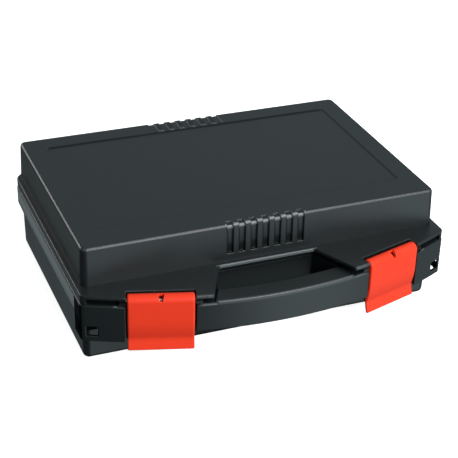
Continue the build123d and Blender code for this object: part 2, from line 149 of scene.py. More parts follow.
class Paint:
    """A material's node graph, with one method that adds any node."""

    def __init__(self, name, owner=None):
        self.material = owner or bpy.data.materials.new(name)
        self.material.use_nodes = True
        self.tree = self.material.node_tree
        self.tree.nodes.clear()

    def add(self, kind, settings=(), values=(), out=0):
        """A new node: its settings first, then the value or the wire of each socket."""
        node = self.tree.nodes.new("ShaderNode" + kind)
        for name, value in dict(settings).items():
            setattr(node, name, value)
        for name, value in dict(values).items():
            if isinstance(value, Wire):
                self.tree.links.new(value.socket, node.inputs[name])
            else:
                node.inputs[name].default_value = value
        return Wire(self, node.outputs[out]) if len(node.outputs) else None

    def place(self):
        """Where a point of the surface is, in metres on the case itself."""
        return self.add("TexCoord", out="Object")

    def parts(self, vector):
        """The three numbers of a vector, each as a wire of its own."""
        node = self.tree.nodes.new("ShaderNodeSeparateXYZ")
        self.tree.links.new(vector.socket, node.inputs[0])
        return [Wire(self, socket) for socket in node.outputs]

    def noise(self, size, detail=3.0, roughness=0.5):
        """Cloudy variation whose lumps are about size metres across."""
        values = {"Vector": self.place(), "Scale": 1 / size, "Detail": detail, "Roughness": roughness}
        return self.add("TexNoise", {}, values, out="Fac")

    def mix(self, factor, one, other):
        """A colour between one and other, by a factor from 0 to 1."""
        return self.add("Mix", {"data_type": "RGBA"}, {0: factor, 6: one, 7: other}, out=2)

    def blend(self, factor, one, other):
        """A direction between one and other, by a factor from 0 to 1, made one unit long again."""
        mixed = self.add("Mix", {"data_type": "VECTOR"}, {0: factor, 4: one, 5: other}, out=1)
        return self.add("VectorMath", {"operation": "NORMALIZE"}, {0: mixed})

    def rounded(self, radius):
        """The surface's direction as if each sharp edge had that small radius."""
        return self.add("Bevel", {"samples": 6}, {"Radius": radius})

    def facing(self):
        """The surface's own direction, before any rounding or relief."""
        return self.add("NewGeometry", out="Normal")

    def alike(self, one, other):
        """1 where two directions agree, and less the more they differ."""
        return self.add("VectorMath", {"operation": "DOT_PRODUCT"}, {0: one, 1: other}, out="Value")

    def bump(self, height, depth, strength=1.0, normal=None):
        """The surface's direction as if it rose by height times depth metres."""
        values = {"Height": height, "Distance": depth, "Strength": strength}
        if normal is not None:
            values["Normal"] = normal
        return self.add("Bump", {}, values)

    def shader(self, **sockets):
        """A surface shader; a name's underscores are the socket's spaces."""
        values = {name.replace("_", " "): value for name, value in sockets.items()}
        return self.add("BsdfPrincipled", {}, values)

    def finish(self, surface):
        """Closes the graph with that shader."""
        self.add("OutputMaterial", {}, {"Surface": surface})
        print(self.material.name, "has", len(self.tree.nodes), "nodes")
        return self.material

    def done(self, **sockets):
        """One shader for the whole surface."""
        return self.finish(self.shader(**sockets))


def colour(red, green, blue):
    """Three amounts of light, as materials want them: with a fourth number that means solid."""
    return (red, green, blue, 1.0)


# %% [markdown]
# ## Places on the case
# Some tones of the plastic belong to one place, such as the inside of the finger opening. A mask is
# a number from 0 to 1 for each point of the surface, and here it is a product of soft steps in three
# measures: how far a point is from the middle, how high it is, and how far it is inward. Two more
# come from the shape: how far a point is past the bowed front, and how far behind the front wall.

# %% Edges of the places, in metres: where each soft step starts and ends
WALL_AT_GROUND = 0.11573
WALL_LEAN = 0.0332
GROOVES_SIDE = (0.0385, 0.0388)
GROOVES_FOOT = (0.0828, 0.0832)
GROOVES_BACK = (-0.105, -0.104)
SUNK_FROM, SUNK_TO = (0.0002, 0.0006), (0.0022, 0.0024)
PIT_TOP = (0.0895, 0.0935)
CREST_FOOT = (0.1070, 0.1090)
GROOVES_SOFT_TOP = (0.1100, 0.1120)
WALL_FOOT_FRONT = (-0.0016, -0.0013)
WALL_FOOT_LOW, WALL_FOOT_HIGH = (0.0754, 0.0756), (0.0770, 0.0780)
CAVE_SIDE, CAVE_FRONT = (0.070, 0.074), (-0.0195, -0.0185)
CAVE_BACK, CAVE_TOP = (-0.1115, -0.1105), (0.0724, 0.0728)
SLOT_SIDE, SLOT_SKIN, SLOT_BACK = (0.158, 0.159), (-0.0011, -0.0006), (-0.106, -0.105)
SLOT_LOW, SLOT_HIGH = (0.030, 0.031), (0.0645, 0.0655)
LIP_SIDE, LIP_FRONT, LIP_BACK = (0.0485, 0.0495), (-0.1187, -0.1183), (-0.1170, -0.1164)
# bounds of the painted highlight on the handle bar's top front edge
BAR_LIGHT_SIDE, BAR_LIGHT_SKIN, BAR_LIGHT_LOW = (0.082, 0.084), (-0.0024, -0.0018), (0.0650, 0.0662)
# bounds of the painted highlight on the round of the lid's top front edge
TOP_EDGE_LIGHT_LOW, TOP_EDGE_LIGHT_HIGH, TOP_EDGE_LIGHT_BACK = (0.1096, 0.1104), (0.1119, 0.1123), (0.0024, 0.0028)
BAND_SIDE, BAND_LOW, BAND_HIGH = (0.1757, 0.1760), (0.0490, 0.0500), (0.0665, 0.0668)


# %% Masks of the places
class Places:
    """Masks that are 1 on one place of the case and 0 elsewhere."""

    def __init__(self, paint):
        """The measures, and two places that several others need.

        Past the bow is the distance from the bow's centre, less its radius. The grooves are the
        stretch of the lid's front that the grip grooves cross, and sunk is what lies inside them.
        """
        across, inward, up = paint.parts(paint.place())
        self.aside = across.maths("ABSOLUTE", across)
        self.inward = inward
        self.up = up
        self.past_bow = (across * across + (inward - BOW_CENTRE * MM) ** 2.0) ** 0.5 - BOW_RADIUS * MM
        self.behind_wall = inward + WALL_AT_GROUND - up * WALL_LEAN
        self.grooves = self.aside.fall(*GROOVES_SIDE) * up.ramp(*GROOVES_FOOT) * inward.fall(*GROOVES_BACK)
        self.sunk = self.grooves * self.behind_wall.ramp(*SUNK_FROM) * self.behind_wall.fall(*SUNK_TO)

    def wall_foot(self):
        """The inward corner where the lid's front wall stands on its flange."""
        high = self.up.ramp(*WALL_FOOT_LOW) * self.up.fall(*WALL_FOOT_HIGH)
        return self.behind_wall.ramp(*WALL_FOOT_FRONT) * high

    def cave(self):
        """The inside of the finger opening, below the lid's flange, where shade is painted."""
        wide = self.aside.fall(*CAVE_SIDE) * self.past_bow.fall(*CAVE_FRONT)
        return wide * self.inward.fall(*CAVE_BACK) * self.up.fall(*CAVE_TOP)

    def slots(self):
        """The hollow front corners, behind the skin that the strap slots go through, where shade is painted.
        """
        deep = self.past_bow.fall(*SLOT_SKIN) * self.inward.fall(*SLOT_BACK)
        return self.aside.ramp(*SLOT_SIDE) * deep * self.up.fall(*SLOT_HIGH) * self.up.ramp(*SLOT_LOW)

    def lip(self):
        """The lid flange's cut edge at the back of the finger opening, where a highlight is painted."""
        deep = self.inward.ramp(*LIP_FRONT) * self.inward.fall(*LIP_BACK)
        return self.aside.fall(*LIP_SIDE) * deep * self.up.ramp(*CAVE_TOP)

    def bar_edge_highlight(self):
        """The handle bar's top front edge, where a highlight is painted."""
        return self.aside.fall(*BAR_LIGHT_SIDE) * self.past_bow.ramp(*BAR_LIGHT_SKIN) * self.up.ramp(*BAR_LIGHT_LOW)

    def top_edge_highlight(self):
        """The round of the lid's top front edge, where a highlight is painted."""
        return self.up.ramp(*TOP_EDGE_LIGHT_LOW) * self.up.fall(*TOP_EDGE_LIGHT_HIGH) * self.behind_wall.fall(*TOP_EDGE_LIGHT_BACK)

    def band(self):
        """The upright band on each side of the base's flange."""
        return self.aside.ramp(*BAND_SIDE) * self.up.ramp(*BAND_LOW) * self.up.fall(*BAND_HIGH)


# %% [markdown]
# ## Charcoal plastic
# The case is injection moulded in a blue-grey charcoal. The steel mould is spark eroded, which
# leaves a very fine even grain on every outer face, so the plastic looks matt with a soft sheen.
# Handling polishes it in patches. Grain is bump and never colour: one fine noise for the grain,
# and a broad one that changes how rough it is. Along every edge the colour is painted a little
# paler, a painted highlight, and the edge is a touch smoother.
#
# The rest follows the places. The side bands are smoother. The grooves' feet, the finger opening's
# inside and the hollow corners are close to black, and four edges that catch the light are paler.
# These tones copy how light falls in the picture and aren't a known second finish. They stay when
# the light changes, so they are a shortcut: for other light, take the places' tones out.

# %% Charcoal plastic
def shell_tone(paint, places, patch, speck, edge_highlight):
    """The base colour: two near tones, pale specks, and painted highlights on every edge and four places."""
    tone = paint.mix(patch, colour(0.0052, 0.0074, 0.0083), colour(0.0068, 0.0095, 0.0106))
    tone = paint.mix(speck.ramp(0.35, 0.75) * 0.3, tone, colour(0.011, 0.015, 0.0165))
    # painted highlight: a paler line along every edge
    tone = paint.mix(edge_highlight * 0.35, tone, colour(0.06, 0.07, 0.075))
    # painted highlight on the round of the lid's top front edge
    tone = paint.mix(places.top_edge_highlight() * 0.35, tone, colour(0.07, 0.08, 0.085))
    # painted highlight on the handle bar's top front edge
    tone = paint.mix(places.bar_edge_highlight() * 0.5, tone, colour(0.07, 0.08, 0.085))
    # painted highlight on the lid flange's cut edge behind the finger opening
    tone = paint.mix(places.lip() * 0.8, tone, colour(0.10, 0.115, 0.12))
    # painted highlight: a pale glint on the groove floors where they reach the lid's top front edge
    crest = places.sunk * places.up.ramp(*CREST_FOOT)
    return paint.mix(crest * 0.6, tone, colour(0.20, 0.225, 0.23))


def shell_edge(paint, places):
    """Sharp edges rounded, more softly in the grooves, and the wall's inner corner left as it is."""
    soft_part = places.grooves * places.up.fall(*GROOVES_SOFT_TOP)
    edge = paint.blend(soft_part * 0.25, paint.rounded(0.0012), paint.rounded(0.003))
    return paint.blend(places.wall_foot(), edge, paint.facing())


def charcoal_plastic():
    """Two shaders, the plastic and a near-black one that paints shade, and a factor that says where shade is
    painted.
    """
    paint = Paint("charcoal_plastic")
    places = Places(paint)
    # painted shade at the feet of the grip grooves
    pit = places.sunk * places.up.fall(*PIT_TOP)
    cave = places.cave()
    # painted shade: the finger opening's inside, the hollow corners and the grooves' feet are mixed towards
    # a near-black shader
    dark = cave.maths("MAXIMUM", cave * 0.72, cave.maths("MAXIMUM", places.slots() * 0.96, pit * 0.75))
    edge = shell_edge(paint, places)
    turned = 1.0 - paint.alike(edge, paint.facing())
    # a painted highlight along every edge, kept out of the painted shade and mostly out of the grooves; the
    # edges are also a touch smoother
    edge_highlight = turned.ramp(0.01, 0.22) * (1.0 - dark) * (1.0 - places.grooves * 0.9)
    patch = paint.noise(0.06, 4, 0.6)
    speck = paint.noise(0.0011, 2)
    grain = paint.noise(0.00045, 2, 0.6)
    band = places.band()
    relief = paint.bump(grain * (1.0 - band * 0.8), 0.00006, 0.5, edge)
    plastic = paint.shader(
        Base_Color=shell_tone(paint, places, patch, speck, edge_highlight),
        Roughness=(0.33 + patch * 0.07 + speck * 0.06 - edge_highlight * 0.06) * (1.0 - band * 0.6),
        Normal=relief,
        Specular_IOR_Level=0.5,
        IOR=1.49,
    )
    # a near-black shader, used only to paint shade
    unlit = paint.shader(
        Base_Color=colour(0.0035, 0.0042, 0.0046), Roughness=0.9, Normal=relief, Specular_IOR_Level=0.0
    )
    return paint.finish(paint.add("MixShader", {}, {0: dark, 1: plastic, 2: unlit}))


shell_plastic = charcoal_plastic()

# %% [markdown]
# ## Orange-red plastic
# The latches are moulded in a saturated orange-red. Their mould is smoother than the case's, so
# they shine more. Along every edge the colour is painted a touch paler, a painted highlight.

# %% Orange-red plastic
def latch_plastic_paint():
    """Two near tones, a painted highlight along the edges, and a fine grain about half as deep as the
    case's.
    """
    paint = Paint("orange_red_plastic")
    edge = paint.rounded(0.0005)
    edge_highlight = (1.0 - paint.alike(edge, paint.facing())).ramp(0.01, 0.25)
    patch = paint.noise(0.018, 4, 0.6)
    grain = paint.noise(0.0006, 2, 0.6)
    tone = paint.mix(patch, colour(0.76, 0.040, 0.014), colour(0.81, 0.047, 0.018))
    # painted highlight: the colour is made paler along every edge
    tone = paint.mix(edge_highlight * 0.3, tone, colour(0.9, 0.16, 0.1))
    return paint.done(
        Base_Color=tone,
        Roughness=0.3 + patch * 0.12 + grain * 0.04,
        Normal=paint.bump(grain, 0.00004, 0.35, edge),
        Specular_IOR_Level=0.2,
        IOR=1.49,
    )


latch_plastic = latch_plastic_paint()

# %% [markdown]
# ## Charcoal foam
# The lining is polyurethane foam, open celled, cut with a wire. Its cells are about a millimetre
# wide and show as tiny dark pits with paler ribs between them. Voronoi cells give the pits,
# and a broad noise gives the uneven dye. Foam has no gloss, so it is rough all over.

# %% Foam
def foam_paint():
    """Dark pits where cells are near their centres, in a cloudy dye."""
    paint = Paint("charcoal_foam")
    values = {"Vector": paint.place(), "Scale": 900.0, "Randomness": 1.0}
    cell = paint.add("TexVoronoi", {"feature": "F1"}, values, out="Distance")
    pit = cell.ramp(0.15, 0.6)
    cloud = paint.noise(0.05, 3)
    tone = paint.mix(cloud, colour(0.026, 0.028, 0.03), colour(0.042, 0.044, 0.047))
    tone = paint.mix(pit, colour(0.008, 0.009, 0.01), tone)
    return paint.done(
        Base_Color=tone,
        Roughness=0.86 + cloud * 0.1,
        Normal=paint.bump(pit, 0.0005, 0.8),
        Specular_IOR_Level=0.15,
    )


foam = foam_paint()

# %% [markdown]
# ## Bright steel
# The pins are drawn steel wire: grey, with fine scratches along the drawing direction. The pins
# lie across the case, so the scratches are a noise that is stretched a lot along X.

# %% Steel
def steel_paint():
    """Bare metal, with scratches in its relief and in how rough it is."""
    paint = Paint("drawn_steel")
    long_way = paint.add("Mapping", {}, {"Vector": paint.place(), "Scale": (60.0, 6000.0, 6000.0)})
    scratch = paint.add("TexNoise", {}, {"Vector": long_way, "Scale": 1.0, "Detail": 3.0})
    dull = paint.noise(0.004, 3)
    tone = paint.mix(dull, colour(0.42, 0.42, 0.43), colour(0.6, 0.6, 0.61))
    return paint.done(
        Base_Color=tone,
        Metallic=1.0,
        Roughness=0.25 + scratch * 0.2 + dull * 0.08,
        Normal=paint.bump(scratch, 0.00002, 0.5),
    )


steel = steel_paint()

# %% [markdown]
# ## Helpers for surfaces worked out with numpy
# A closed tube of loops is enough for most pieces here: each row of a grid of points is one closed
# loop, neighbouring rows are joined by quads, and the first and the last loop are closed by a face.

# %% Mesh helpers
def new_piece(name, points, faces, finish):
    """A piece whose mesh is made of points in millimetres on the case and lists of their numbers."""
    mesh = bpy.data.meshes.new(name)
    mesh.from_pydata((np.asarray(points).reshape(-1, 3) * MM).tolist(), [], faces)
    mesh.validate()
    mesh.materials.append(finish)
    piece = bpy.data.objects.new(name, mesh)
    bpy.context.collection.objects.link(piece)
    return piece


def loop_faces(rows, across, capped=True, flip=False):
    """Quads between each point of a loop, the next one, and the same two on the next loop."""
    row, col = np.meshgrid(np.arange(rows - 1), np.arange(across), indexing="ij")
    after = (col + 1) % across
    quads = np.stack(
        (row * across + col, row * across + after, (row + 1) * across + after, (row + 1) * across + col), -1
    ).reshape(-1, 4)
    faces = quads.tolist()
    if capped:
        faces.append(list(range(across))[::-1])
        faces.append(list(range((rows - 1) * across, rows * across)))
    return [face[::-1] for face in faces] if flip else faces


def smooth_below(piece, angle):
    """Soft shading everywhere but across edges that turn by more than the angle, in degrees."""
    mesh = piece.data
    mesh.polygons.foreach_set("use_smooth", np.ones(len(mesh.polygons), bool))
    mesh.set_sharp_from_angle(angle=math.radians(angle))
    mesh.update()


def cut(piece, tool, operation="DIFFERENCE"):
    """Cuts the tool's shape out of the piece, or adds it, and removes the tool."""
    change = piece.modifiers.new("cut", "BOOLEAN")
    change.object = tool
    change.operation = operation
    change.solver = "EXACT"
    bake_modifiers(piece)
    bpy.data.objects.remove(tool)


def bake_modifiers(piece):
    """Turns what the modifiers show into the piece's own mesh."""
    graph = bpy.context.evaluated_depsgraph_get()
    graph.update()
    shown = bpy.data.meshes.new_from_object(piece.evaluated_get(graph))
    piece.modifiers.clear()
    old = piece.data
    piece.data = shown
    shown.name = piece.name
    bpy.data.meshes.remove(old)


# %% [markdown]
# ## The two shells
# The base and the lid are thin-walled mouldings whose shapes the solids already have: the drafted
# walls, the bowed flange, the bar and its opening, and the grip grooves. What a solid's mesh
# lacks is clean shading, because it is loose flat triangles. A copy with its points merged and its
# flat triangles dissolved into whole faces can be shaded softly, round curves but not over edges.
# Points nearer than a 250th of a millimetre count as one, and faces within 0.4 degrees as flat.

# %% A clean copy of a solid
MERGE_METRES = 0.000004
FLAT_DEGREES = 0.4


def solid_copy(node, name, finish, dissolve=False):
    """A solid's mesh with its points merged and, if asked, its flat triangles made whole faces."""
    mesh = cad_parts[node].data.copy()
    work = bmesh.new()
    work.from_mesh(mesh)
    bmesh.ops.remove_doubles(work, verts=work.verts, dist=MERGE_METRES)
    if dissolve:
        bmesh.ops.dissolve_limit(
            work,
            angle_limit=math.radians(FLAT_DEGREES),
            verts=work.verts,
            edges=work.edges,
            use_dissolve_boundaries=False,
        )
    work.to_mesh(mesh)
    work.free()
    mesh.materials.clear()
    mesh.materials.append(finish)
    piece = bpy.data.objects.new(name, mesh)
    bpy.context.collection.objects.link(piece)
    return piece


# %% Base and lid shells
def shell_from(node, body, name):
    """A solid's copy with normals weighted by area, so that large flat faces stay flat."""
    piece = solid_copy(node, name, shell_plastic, dissolve=True)
    piece.data.name = name
    smooth_below(piece, 30)
    weighted = piece.modifiers.new("weighted", "WEIGHTED_NORMAL")
    weighted.keep_sharp = True
    weighted.weight = 80
    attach(piece, body)
    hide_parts(node)
    print(name, len(piece.data.vertices), "points", len(piece.data.polygons), "faces")


shell_from("base_shell", "case", "base")
shell_from("lid_shell", "lid", "lid_top")

# %% [markdown]
# ## Latches
# Each latch is a thin moulded hook: a barrel that turns on its pin, a flat face that curls in to a
# crease, and a lip that flares out for the fingertips. A cheek closes each end, and the crest has a
# notch with sloping sides and a narrow flat foot. A loft suits it: one C-shaped loop, with rounded
# corners, is carried down the face's profile, and the loop's depth changes on the way.

# %% Latch measures
LATCH_X = 112.0
HALF_WIDTH = 29.0
BARREL = 6.0
BARREL_POINTS = 44
PIVOT = 70.2
STRAIGHT_FOOT = 52.0
CREASE = (3.4, 32.6)
LIP = (0.6, 21.7)
LIP_ROUND = 1.1
LIP_ENDS_IN = 1.0
LEAST_SHARE = 0.001
SKIN = 2.4
CORNER_ROUND = 1.7
CORNER_SHARE = 0.48
TIP_ROUND = 0.7
CHEEK = 2.0
CHEEK_FOOT = 31.0
CHEEK_RISE = 5.0
latch_turn = math.asin(LATCH_X / BOW_RADIUS)
latch_y = BOW_CENTRE - math.sqrt(BOW_RADIUS**2 - LATCH_X**2)
print("latch turned by", round(math.degrees(latch_turn), 2), "degrees")


def on_latch(along, inward, height, side):
    """A point from the middle of a latch's face: along it, into the case, and up."""
    x = LATCH_X + along * math.cos(latch_turn) - inward * math.sin(latch_turn)
    y = latch_y + along * math.sin(latch_turn) + inward * math.cos(latch_turn)
    return np.stack(np.broadcast_arrays(side * x, y, height), -1)


# %% Latch profile
def arc(centre, radius, start, end, count):
    """Points round a centre; the angles are in degrees, from the inward direction to upwards."""
    angle = np.radians(np.linspace(start, end, count))
    return np.stack((centre[0] + radius * np.cos(angle), centre[1] + radius * np.sin(angle)), -1)


def latch_profile():
    """Back of the barrel, over the crest, down the face, in to the crease and out to the lip."""
    barrel_back = math.degrees(math.asin(SKIN / BARREL))
    barrel = arc((BARREL, PIVOT), BARREL, -barrel_back, 180, BARREL_POINTS)
    face = np.stack((np.zeros(8), np.linspace(PIVOT, STRAIGHT_FOOT, 10)[1:-1]), -1)
    drop = STRAIGHT_FOOT - CREASE[1]
    turn_radius = (CREASE[0] ** 2 + drop**2) / (2 * CREASE[0])
    turn_end = math.degrees(math.asin(drop / turn_radius))
    turn = arc((turn_radius, STRAIGHT_FOOT), turn_radius, 180, 180 + turn_end, 24)
    lip = np.linspace(CREASE, LIP, 14)
    before, after = turn[-4], lip[4]
    bend = np.linspace(0, 1, 9)[:, None]
    soft = (1 - bend) ** 2 * before + 2 * bend * (1 - bend) * np.array(CREASE) + bend**2 * after
    return np.concatenate((barrel, face, turn[:-4], soft, lip[5:]))


profile = latch_profile()
print("latch profile has", len(profile), "points")


# %% Latch loops
def channel_loop(depth):
    """The C-shaped loop of the cross-section, for each depth of the cheeks.

    A point is how far it is inward from the skin's outer face and how far along the latch. The
    outer corners and the cheeks' tips are quarter circles; the inner corners are sharp. A corner
    takes at most about half of the depth.
    """
    corner = np.minimum(CORNER_ROUND, depth * CORNER_SHARE)[:, None]
    tip = np.minimum(TIP_ROUND, corner)
    inner = np.minimum(SKIN, depth)[:, None]
    deep = depth[:, None]
    quarter = np.radians(np.linspace(0, 90, 7))[None, :]
    flat = np.linspace(-1, 1, 25)[None, 1:-1]
    outer_flat = (0 * corner + 0 * flat, (HALF_WIDTH - corner) * flat)
    outer_corner = (corner * (1 - np.cos(quarter)), HALF_WIDTH - corner + corner * np.sin(quarter))
    down = np.linspace(0, 1, 6)[None, 1:-1]
    cheek = (corner + (deep - tip - corner) * down, HALF_WIDTH + 0 * down + 0 * corner)
    tip_out = (deep - tip + tip * np.sin(quarter), HALF_WIDTH - tip + tip * np.cos(quarter))
    inner_back = (deep + (inner - deep) * down, HALF_WIDTH - CHEEK + 0 * down + 0 * corner)
    inner_flat = (inner + 0 * flat, -(HALF_WIDTH - CHEEK) * flat)
    one_side = [outer_corner, cheek, tip_out, inner_back]
    right = [np.stack(np.broadcast_arrays(*part), -1) for part in one_side]
    left = [part[:, ::-1] * (1, -1) for part in right[::-1]]
    outer = np.stack(np.broadcast_arrays(*outer_flat), -1)
    back = np.stack(np.broadcast_arrays(*inner_flat), -1)
    return np.concatenate([outer, *right, back, *left], axis=1)


def latch_skin(side):
    """The loop carried along the profile: inward is towards the barrel's axis, or straight in.

    The cheeks' depth fades to the skin's between two heights. The lip's end is round: there the
    loops shrink along a quarter circle, towards the middle of the skin and in from both ends. The
    least share of their size stays, so that the last loop isn't a line.
    """
    height = profile[:, 1]
    target = np.stack((np.full(len(profile), BARREL), np.minimum(height, PIVOT)), -1)
    on_barrel = np.arange(len(profile)) < BARREL_POINTS
    target[on_barrel] = (BARREL, PIVOT)
    depth = np.linalg.norm(target - profile, axis=1)
    low = np.clip((height - CHEEK_FOOT) / CHEEK_RISE, 0, 1)
    depth = np.where(on_barrel, BARREL, SKIN + (depth - SKIN) * low * low * (3 - 2 * low))
    inward = target - profile
    inward /= np.linalg.norm(inward, axis=1)[:, None]
    loops = channel_loop(depth)
    end = np.clip((height - LIP[1]) / LIP_ROUND, 0, 1)
    shrink = np.sqrt(1 - (1 - end) ** 2) * (1 - LEAST_SHARE) + LEAST_SHARE
    middle = SKIN / 2
    off = middle + (loops[..., 0] - middle) * shrink[:, None]
    along = loops[..., 1] - np.sign(loops[..., 1]) * (1.0 - shrink[:, None]) * LIP_ENDS_IN
    place = profile[:, None, :] + off[..., None] * inward[:, None, :]
    return on_latch(along, place[..., 0], place[..., 1], side)


# %% [markdown]
# Bars are added to a latch and cut out of it. Two ribs inside the barrel carry the pin, a hook inside
# the face is what snaps over the base's catch, and a bore runs through cheeks and ribs.

# %% Bars on a latch
NOTCH_TOP = (3.0, 77.2)
NOTCH_FOOT = (1.0, 71.2)
NOTCH_REACH = (-1.0, 7.0)
RIB_PLACES = (-10.0, 10.0)
RIB_HALF_WIDTH = 1.0
RIB_RADIUS = 5.5
HOOK_OUTLINE = ((1.5, 46), (4.9, 46), (4.9, 48.9), (4.3, 49.5), (1.5, 49.5))
HOOK_HALF_WIDTH = 19.0
BORE_RADIUS = 1.55
BORE_HALF_LENGTH = 40.0


def prism(corners, start, end, side, name):
    """A bar with that outline, inward and up, between two places along the latch."""
    outline = np.array(corners, float)
    along = np.array([start, end])[:, None]
    points = on_latch(along, outline[None, :, 0], outline[None, :, 1], side)
    return new_piece(name, points, loop_faces(2, len(outline), flip=side < 0), latch_plastic)


def rod(radius, start, end, side, name):
    """A round bar about the latch's pivot, with 48 sides."""
    angle = np.linspace(0, 2 * np.pi, 48, endpoint=False)
    circle = np.stack((BARREL + radius * np.cos(angle), PIVOT + radius * np.sin(angle)), -1)
    return prism(circle, start, end, side, name)


def wedge(side):
    """The notch that is cut out of the crest, as a four-sided bar that points into the case."""
    (wide, top), (narrow, foot) = NOTCH_TOP, NOTCH_FOOT
    outline = ((-wide, top), (wide, top), (narrow, foot), (-narrow, foot))
    rows = np.array([[(along, inward, height) for along, height in outline] for inward in NOTCH_REACH])
    points = on_latch(rows[..., 0], rows[..., 1], rows[..., 2], side)
    return new_piece("wedge", points, loop_faces(2, len(outline), flip=side < 0), latch_plastic)


# %% Latch pieces
def make_latch(side, name):
    """The skin, then ribs and hook added, then bore and notch cut; side is 1 right and -1 left."""
    points = latch_skin(side)
    faces = loop_faces(points.shape[0], points.shape[1], flip=side < 0)
    piece = new_piece(name, points, faces, latch_plastic)
    for place in RIB_PLACES:
        start, end = place - RIB_HALF_WIDTH, place + RIB_HALF_WIDTH
        cut(piece, rod(RIB_RADIUS, start, end, side, "rib"), "UNION")
    cut(piece, prism(HOOK_OUTLINE, -HOOK_HALF_WIDTH, HOOK_HALF_WIDTH, side, "hook"), "UNION")
    cut(piece, rod(BORE_RADIUS, -BORE_HALF_LENGTH, BORE_HALF_LENGTH, side, "bore"))
    cut(piece, wedge(side))
    smooth_below(piece, 32)
    weighted = piece.modifiers.new("weighted", "WEIGHTED_NORMAL")
    weighted.keep_sharp = True
    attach(piece, name.replace("_hook", ""))
    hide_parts(name.replace("_hook", ""))
    print(name, len(piece.data.vertices), "points")


make_latch(1, "right_latch_hook")
make_latch(-1, "left_latch_hook")

# %% [markdown]
# ## Foam lining
# A pad lies on the floor, an insert with cut pockets lies on it, and a sheet with a bumpy
# underside is glued in the lid. Cut foam never has a crisp edge. The pockets' shape is already in
# the solid, so a remeshed and relaxed copy of it gives the soft edges. The sheets are numpy grids.

# %% Foam insert
def soften(piece, cell, passes):
    """Remeshes a solid in small cubes and lets each point drift to the middle of its neighbours."""
    remesh = piece.modifiers.new("remesh", "REMESH")
    remesh.mode = "VOXEL"
    remesh.voxel_size = cell
    relax = piece.modifiers.new("relax", "SMOOTH")
    relax.iterations = passes
    relax.factor = 0.5
    bake_modifiers(piece)
    smooth_below(piece, 180)


def foam_insert():
    """The insert's solid, remeshed in cubes of 2.4 mm and relaxed four times."""
    piece = solid_copy("base_foam_insert", "pocket_foam", foam)
    soften(piece, 0.0024, 4)
    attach(piece, "case")
    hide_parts("base_foam_insert")
    print("foam insert", len(piece.data.vertices), "points")


foam_insert()


# %% Foam sheets
def rounded_rectangle(across, along, half_x, half_y, corner):
    """Maps a square from -1 to 1 onto a rectangle whose corners are arcs.

    In a corner zone, a point's larger distance from the arc's centre is kept as its radius.
    """
    x = across * half_x
    y = along * half_y
    over_x = np.maximum(np.abs(x) - (half_x - corner), 0)
    over_y = np.maximum(np.abs(y) - (half_y - corner), 0)
    both = (over_x > 0) & (over_y > 0)
    reach = np.maximum(over_x, over_y)
    length = np.where(both, np.hypot(over_x, over_y), 1)
    scale = np.where(both, reach / length, 1)
    x = np.where(both, np.sign(x) * (half_x - corner + over_x * scale), x)
    y = np.where(both, np.sign(y) * (half_y - corner + over_y * scale), y)
    return x, y


def sheet_axis(half, corner, step):
    """Places from -1 to 1 that are closer together in the corner zones."""
    inner = 1 - corner / half
    middle = np.linspace(-inner, inner, int(2 * half * inner / step))
    end = np.linspace(inner, 1, 7)[1:]
    return np.concatenate((-end[::-1], middle, end))


def foam_slab(name, half_x, half_y, corner, under, over, edge, step):
    """A closed slab: a grid above, a grid below, and rounded rims that join their borders."""
    across, along = sheet_axis(half_x, corner, step), sheet_axis(half_y, corner, step)
    grid_a, grid_b = np.meshgrid(across, along, indexing="ij")
    rows, cols = grid_a.shape
    number = np.arange(rows * cols).reshape(rows, cols)
    border = np.concatenate((number[:-1, 0], number[-1, :-1], number[:0:-1, -1], number[0, :0:-1]))
    x, y = rounded_rectangle(grid_a, grid_b, half_x - edge, half_y - edge, corner - edge)
    top = np.stack((x, y, over(x, y)), -1).reshape(-1, 3)
    bottom = np.stack((x, y, under(x, y)), -1).reshape(-1, 3)
    rings = []
    arcs = np.radians((22.5, 45, 67.5, 90))
    outward = [edge * math.sin(a) for a in arcs] + [edge * math.sin(a) for a in arcs[::-1]]
    down = [edge * (1 - math.cos(a)) for a in arcs]
    for index, out in enumerate(outward):
        grow = edge - out
        ring_x, ring_y = rounded_rectangle(
            grid_a.ravel()[border], grid_b.ravel()[border], half_x - grow, half_y - grow, corner - grow
        )
        high, low = top[border, 2], bottom[border, 2]
        height = high - down[index] if index < 4 else low + down[7 - index]
        rings.append(np.stack((ring_x, ring_y, height), -1))
    points = np.concatenate((top, *rings, bottom))
    quad = np.stack((number[:-1, :-1], number[1:, :-1], number[1:, 1:], number[:-1, 1:]), -1).reshape(-1, 4)
    first_bottom = len(top) + len(border) * len(rings)
    loops = [border] + [len(top) + len(border) * k + np.arange(len(border)) for k in range(len(rings))]
    loops.append(first_bottom + border)
    sides = [
        np.stack((high, low, np.roll(low, -1), np.roll(high, -1)), -1) for high, low in zip(loops, loops[1:])
    ]
    faces = np.concatenate((quad, *sides, (quad + first_bottom)[:, ::-1]))
    piece = new_piece(name, points, faces.tolist(), foam)
    smooth_below(piece, 180)
    print(name, len(points), "points")
    return piece


def ripple(x, y):
    """Two crossed sets of slow waves, a fraction of a millimetre high: a hand-cut face."""
    return 0.25 * np.sin(x / 17 + 1.3) * np.cos(y / 23) + 0.15 * np.sin(x / 7 + y / 9)


pad = foam_slab(
    "floor_foam",
    half_x=167.33,
    half_y=109.33,
    corner=8,
    under=lambda x, y: 2.6 + 0 * x,
    over=lambda x, y: 10.2 + ripple(x, y) * 0.8,
    edge=1.2,
    step=8,
)
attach(pad, "case")
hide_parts("base_foam_pad")


CRATE_PITCH = 26.0
CRATE_MIDDLE = 88.5
CRATE_SWING = 7.5


